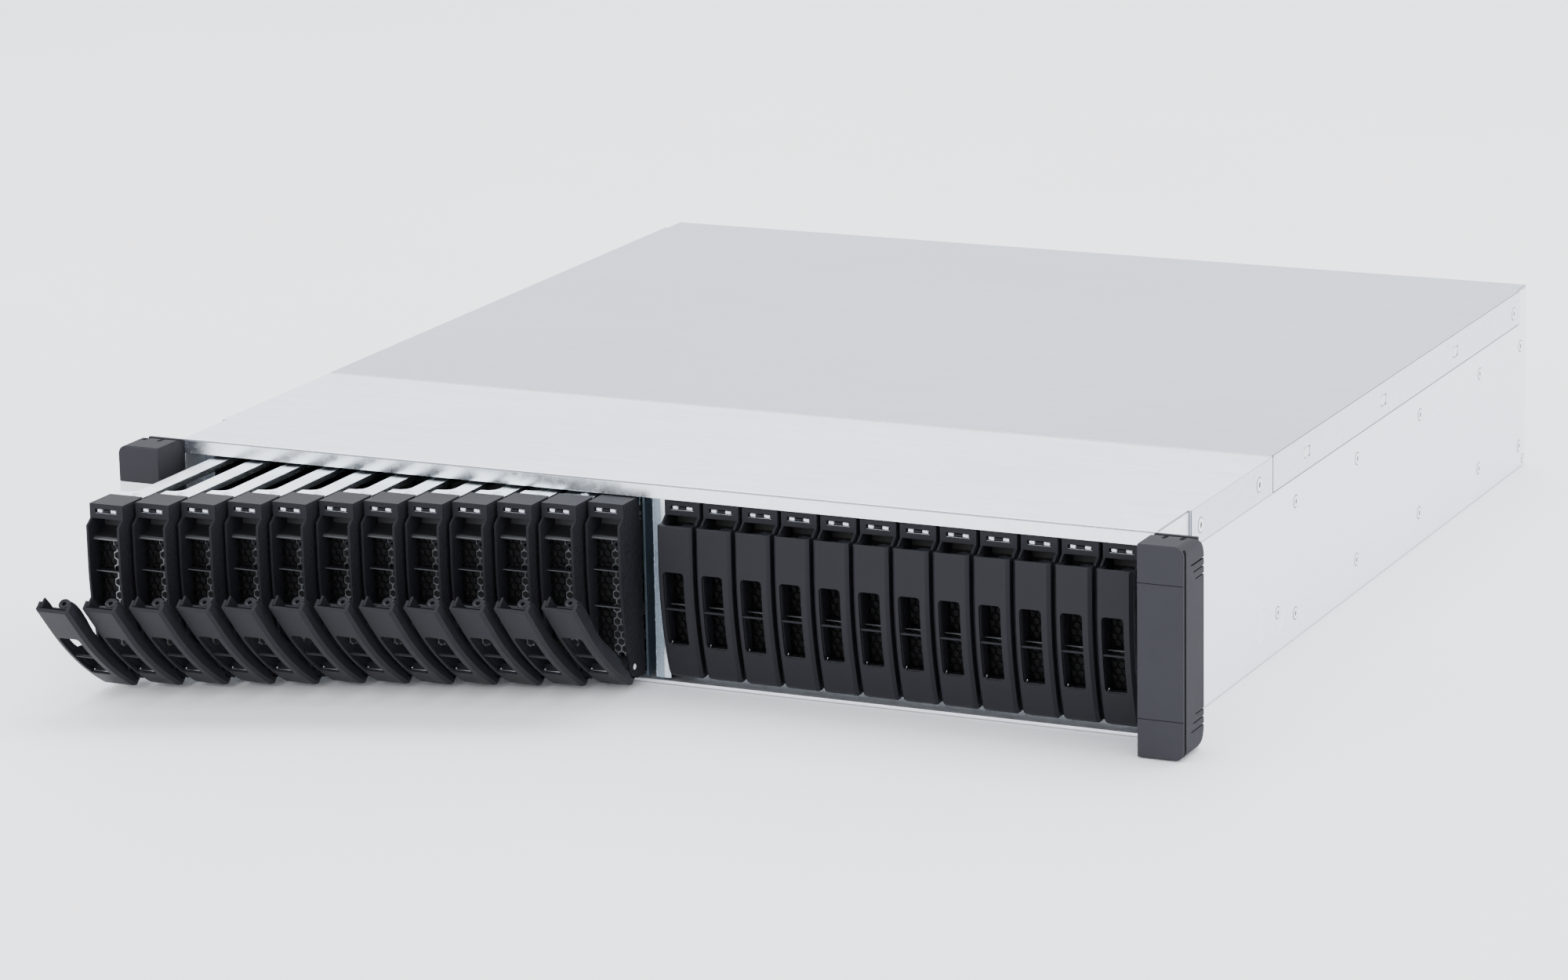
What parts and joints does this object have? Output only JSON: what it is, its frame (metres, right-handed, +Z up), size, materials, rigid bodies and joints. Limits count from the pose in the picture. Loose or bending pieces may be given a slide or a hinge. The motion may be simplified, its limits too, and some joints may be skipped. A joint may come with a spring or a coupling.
{
  "type": "disk shelf enclosure",
  "caption": "Two-unit rack chassis with a row of narrow slide-in drive carriers behind curved pull levers, half of them drawn out in steps, and plug-in modules at the rear.",
  "frame": {"origin": "under the middle of the chassis, level with its underside, in the plane where the ears meet the rack", "axes": "+X right as seen from the front, +Y to the rear, +Z up"},
  "size_m": [0.4826, 0.6426, 0.087],
  "materials": {
    "galvanised_steel": "spangled zinc",
    "cover_steel": "satin zinc",
    "module_steel": "satin zinc",
    "circuit_board": "solder mask",
    "ear_plastic": "fine grain",
    "carrier_black": "fine grain",
    "lever_black": "satin"
  },
  "bodies": {
    "chassis": {"chassis_pan": "galvanised_steel", "drive_cage": "galvanised_steel", "midplane_board": "circuit_board", "front_cover": "cover_steel", "rear_cover": "cover_steel", "left_ear": "ear_plastic", "right_ear": "ear_plastic"},
    "tray_01": {"drive_tray_01": "carrier_black"},
    "lever_01": {"tray_lever_01": "lever_black"},
    "tray_02": {"drive_tray_02": "carrier_black"},
    "lever_02": {"tray_lever_02": "lever_black"},
    "tray_03": {"drive_tray_03": "carrier_black"},
    "lever_03": {"tray_lever_03": "lever_black"},
    "tray_04": {"drive_tray_04": "carrier_black"},
    "lever_04": {"tray_lever_04": "lever_black"},
    "tray_05": {"drive_tray_05": "carrier_black"},
    "lever_05": {"tray_lever_05": "lever_black"},
    "tray_06": {"drive_tray_06": "carrier_black"},
    "lever_06": {"tray_lever_06": "lever_black"},
    "tray_07": {"drive_tray_07": "carrier_black"},
    "lever_07": {"tray_lever_07": "lever_black"},
    "tray_08": {"drive_tray_08": "carrier_black"},
    "lever_08": {"tray_lever_08": "lever_black"},
    "tray_09": {"drive_tray_09": "carrier_black"},
    "lever_09": {"tray_lever_09": "lever_black"},
    "tray_10": {"drive_tray_10": "carrier_black"},
    "lever_10": {"tray_lever_10": "lever_black"},
    "tray_11": {"drive_tray_11": "carrier_black"},
    "lever_11": {"tray_lever_11": "lever_black"},
    "tray_12": {"drive_tray_12": "carrier_black"},
    "lever_12": {"tray_lever_12": "lever_black"},
    "tray_13": {"drive_tray_13": "carrier_black"},
    "lever_13": {"tray_lever_13": "lever_black"},
    "tray_14": {"drive_tray_14": "carrier_black"},
    "lever_14": {"tray_lever_14": "lever_black"},
    "tray_15": {"drive_tray_15": "carrier_black"},
    "lever_15": {"tray_lever_15": "lever_black"},
    "tray_16": {"drive_tray_16": "carrier_black"},
    "lever_16": {"tray_lever_16": "lever_black"},
    "tray_17": {"drive_tray_17": "carrier_black"},
    "lever_17": {"tray_lever_17": "lever_black"},
    "tray_18": {"drive_tray_18": "carrier_black"},
    "lever_18": {"tray_lever_18": "lever_black"},
    "tray_19": {"drive_tray_19": "carrier_black"},
    "lever_19": {"tray_lever_19": "lever_black"},
    "tray_20": {"drive_tray_20": "carrier_black"},
    "lever_20": {"tray_lever_20": "lever_black"},
    "tray_21": {"drive_tray_21": "carrier_black"},
    "lever_21": {"tray_lever_21": "lever_black"},
    "tray_22": {"drive_tray_22": "carrier_black"},
    "lever_22": {"tray_lever_22": "lever_black"},
    "tray_23": {"drive_tray_23": "carrier_black"},
    "lever_23": {"tray_lever_23": "lever_black"},
    "tray_24": {"drive_tray_24": "carrier_black"},
    "lever_24": {"tray_lever_24": "lever_black"},
    "power_supply_left_body": {"power_supply_left": "module_steel"},
    "power_supply_right_body": {"power_supply_right": "module_steel"},
    "io_module_lower_body": {"io_module_lower": "module_steel"},
    "io_module_upper_body": {"io_module_upper": "module_steel"}
  },
  "joints": [
    {"name": "tray_slide_01", "type": "slide", "parent": "chassis", "child": "tray_01", "axis": [0, -1, 0], "range_m": [-0.0884, 0.0616]},
    {"name": "lever_hinge_01", "type": "hinge", "parent": "tray_01", "child": "lever_01", "pos_m": [-0.20697, -0.0821, 0.0092], "axis": [1, 0, 0], "range_deg": [-41, 0]},
    {"name": "tray_slide_02", "type": "slide", "parent": "chassis", "child": "tray_02", "axis": [0, -1, 0], "range_m": [-0.081, 0.069]},
    {"name": "lever_hinge_02", "type": "hinge", "parent": "tray_02", "child": "lever_02", "pos_m": [-0.18943, -0.0747, 0.0092], "axis": [1, 0, 0], "range_deg": [-41, 0]},
    {"name": "tray_slide_03", "type": "slide", "parent": "chassis", "child": "tray_03", "axis": [0, -1, 0], "range_m": [-0.0736, 0.0764]},
    {"name": "lever_hinge_03", "type": "hinge", "parent": "tray_03", "child": "lever_03", "pos_m": [-0.17189, -0.0673, 0.0092], "axis": [1, 0, 0], "range_deg": [-41, 0]},
    {"name": "tray_slide_04", "type": "slide", "parent": "chassis", "child": "tray_04", "axis": [0, -1, 0], "range_m": [-0.0657, 0.0843]},
    {"name": "lever_hinge_04", "type": "hinge", "parent": "tray_04", "child": "lever_04", "pos_m": [-0.15435, -0.0594, 0.0092], "axis": [1, 0, 0], "range_deg": [-41, 0]},
    {"name": "tray_slide_05", "type": "slide", "parent": "chassis", "child": "tray_05", "axis": [0, -1, 0], "range_m": [-0.0594, 0.0906]},
    {"name": "lever_hinge_05", "type": "hinge", "parent": "tray_05", "child": "lever_05", "pos_m": [-0.13681, -0.0531, 0.0092], "axis": [1, 0, 0], "range_deg": [-41, 0]},
    {"name": "tray_slide_06", "type": "slide", "parent": "chassis", "child": "tray_06", "axis": [0, -1, 0], "range_m": [-0.0514, 0.0986]},
    {"name": "lever_hinge_06", "type": "hinge", "parent": "tray_06", "child": "lever_06", "pos_m": [-0.11927, -0.0451, 0.0092], "axis": [1, 0, 0], "range_deg": [-41, 0]},
    {"name": "tray_slide_07", "type": "slide", "parent": "chassis", "child": "tray_07", "axis": [0, -1, 0], "range_m": [-0.0451, 0.1049]},
    {"name": "lever_hinge_07", "type": "hinge", "parent": "tray_07", "child": "lever_07", "pos_m": [-0.10173, -0.0388, 0.0092], "axis": [1, 0, 0], "range_deg": [-41, 0]},
    {"name": "tray_slide_08", "type": "slide", "parent": "chassis", "child": "tray_08", "axis": [0, -1, 0], "range_m": [-0.0394, 0.1106]},
    {"name": "lever_hinge_08", "type": "hinge", "parent": "tray_08", "child": "lever_08", "pos_m": [-0.08419, -0.0331, 0.0092], "axis": [1, 0, 0], "range_deg": [-41, 0]},
    {"name": "tray_slide_09", "type": "slide", "parent": "chassis", "child": "tray_09", "axis": [0, -1, 0], "range_m": [-0.0336, 0.1164]},
    {"name": "lever_hinge_09", "type": "hinge", "parent": "tray_09", "child": "lever_09", "pos_m": [-0.06665, -0.0273, 0.0092], "axis": [1, 0, 0], "range_deg": [-41, 0]},
    {"name": "tray_slide_10", "type": "slide", "parent": "chassis", "child": "tray_10", "axis": [0, -1, 0], "range_m": [-0.0274, 0.1226]},
    {"name": "lever_hinge_10", "type": "hinge", "parent": "tray_10", "child": "lever_10", "pos_m": [-0.04911, -0.0211, 0.0092], "axis": [1, 0, 0], "range_deg": [-41, 0]},
    {"name": "tray_slide_11", "type": "slide", "parent": "chassis", "child": "tray_11", "axis": [0, -1, 0], "range_m": [-0.0218, 0.1282]},
    {"name": "lever_hinge_11", "type": "hinge", "parent": "tray_11", "child": "lever_11", "pos_m": [-0.03157, -0.0155, 0.0092], "axis": [1, 0, 0], "range_deg": [-41, 0]},
    {"name": "tray_slide_12", "type": "slide", "parent": "chassis", "child": "tray_12", "axis": [0, -1, 0], "range_m": [-0.0139, 0.1361]},
    {"name": "lever_hinge_12", "type": "hinge", "parent": "tray_12", "child": "lever_12", "pos_m": [-0.01403, -0.0076, 0.0092], "axis": [1, 0, 0], "range_deg": [-41, 0]},
    {"name": "tray_slide_13", "type": "slide", "parent": "chassis", "child": "tray_13", "axis": [0, -1, 0], "range_m": [0, 0.15]},
    {"name": "lever_hinge_13", "type": "hinge", "parent": "tray_13", "child": "lever_13", "pos_m": [0.01403, 0.0063, 0.0092], "axis": [1, 0, 0], "range_deg": [0, 41]},
    {"name": "tray_slide_14", "type": "slide", "parent": "chassis", "child": "tray_14", "axis": [0, -1, 0], "range_m": [0, 0.15]},
    {"name": "lever_hinge_14", "type": "hinge", "parent": "tray_14", "child": "lever_14", "pos_m": [0.03157, 0.0063, 0.0092], "axis": [1, 0, 0], "range_deg": [0, 41]},
    {"name": "tray_slide_15", "type": "slide", "parent": "chassis", "child": "tray_15", "axis": [0, -1, 0], "range_m": [0, 0.15]},
    {"name": "lever_hinge_15", "type": "hinge", "parent": "tray_15", "child": "lever_15", "pos_m": [0.04911, 0.0063, 0.0092], "axis": [1, 0, 0], "range_deg": [0, 41]},
    {"name": "tray_slide_16", "type": "slide", "parent": "chassis", "child": "tray_16", "axis": [0, -1, 0], "range_m": [0, 0.15]},
    {"name": "lever_hinge_16", "type": "hinge", "parent": "tray_16", "child": "lever_16", "pos_m": [0.06665, 0.0063, 0.0092], "axis": [1, 0, 0], "range_deg": [0, 41]},
    {"name": "tray_slide_17", "type": "slide", "parent": "chassis", "child": "tray_17", "axis": [0, -1, 0], "range_m": [0, 0.15]},
    {"name": "lever_hinge_17", "type": "hinge", "parent": "tray_17", "child": "lever_17", "pos_m": [0.08419, 0.0063, 0.0092], "axis": [1, 0, 0], "range_deg": [0, 41]},
    {"name": "tray_slide_18", "type": "slide", "parent": "chassis", "child": "tray_18", "axis": [0, -1, 0], "range_m": [0, 0.15]},
    {"name": "lever_hinge_18", "type": "hinge", "parent": "tray_18", "child": "lever_18", "pos_m": [0.10173, 0.0063, 0.0092], "axis": [1, 0, 0], "range_deg": [0, 41]},
    {"name": "tray_slide_19", "type": "slide", "parent": "chassis", "child": "tray_19", "axis": [0, -1, 0], "range_m": [0, 0.15]},
    {"name": "lever_hinge_19", "type": "hinge", "parent": "tray_19", "child": "lever_19", "pos_m": [0.11927, 0.0063, 0.0092], "axis": [1, 0, 0], "range_deg": [0, 41]},
    {"name": "tray_slide_20", "type": "slide", "parent": "chassis", "child": "tray_20", "axis": [0, -1, 0], "range_m": [0, 0.15]},
    {"name": "lever_hinge_20", "type": "hinge", "parent": "tray_20", "child": "lever_20", "pos_m": [0.13681, 0.0063, 0.0092], "axis": [1, 0, 0], "range_deg": [0, 41]},
    {"name": "tray_slide_21", "type": "slide", "parent": "chassis", "child": "tray_21", "axis": [0, -1, 0], "range_m": [0, 0.15]},
    {"name": "lever_hinge_21", "type": "hinge", "parent": "tray_21", "child": "lever_21", "pos_m": [0.15435, 0.0063, 0.0092], "axis": [1, 0, 0], "range_deg": [0, 41]},
    {"name": "tray_slide_22", "type": "slide", "parent": "chassis", "child": "tray_22", "axis": [0, -1, 0], "range_m": [0, 0.15]},
    {"name": "lever_hinge_22", "type": "hinge", "parent": "tray_22", "child": "lever_22", "pos_m": [0.17189, 0.0063, 0.0092], "axis": [1, 0, 0], "range_deg": [0, 41]},
    {"name": "tray_slide_23", "type": "slide", "parent": "chassis", "child": "tray_23", "axis": [0, -1, 0], "range_m": [0, 0.15]},
    {"name": "lever_hinge_23", "type": "hinge", "parent": "tray_23", "child": "lever_23", "pos_m": [0.18943, 0.0063, 0.0092], "axis": [1, 0, 0], "range_deg": [0, 41]},
    {"name": "tray_slide_24", "type": "slide", "parent": "chassis", "child": "tray_24", "axis": [0, -1, 0], "range_m": [0, 0.15]},
    {"name": "lever_hinge_24", "type": "hinge", "parent": "tray_24", "child": "lever_24", "pos_m": [0.20697, 0.0063, 0.0092], "axis": [1, 0, 0], "range_deg": [0, 41]},
    {"name": "power_supply_left_slide", "type": "slide", "parent": "chassis", "child": "power_supply_left_body", "axis": [0, 1, 0], "range_m": [0, 0.335]},
    {"name": "power_supply_right_slide", "type": "slide", "parent": "chassis", "child": "power_supply_right_body", "axis": [0, 1, 0], "range_m": [0, 0.335]},
    {"name": "io_module_lower_slide", "type": "slide", "parent": "chassis", "child": "io_module_lower_body", "axis": [0, 1, 0], "range_m": [0, 0.335]},
    {"name": "io_module_upper_slide", "type": "slide", "parent": "chassis", "child": "io_module_upper_body", "axis": [0, 1, 0], "range_m": [0, 0.335]}
  ]
}
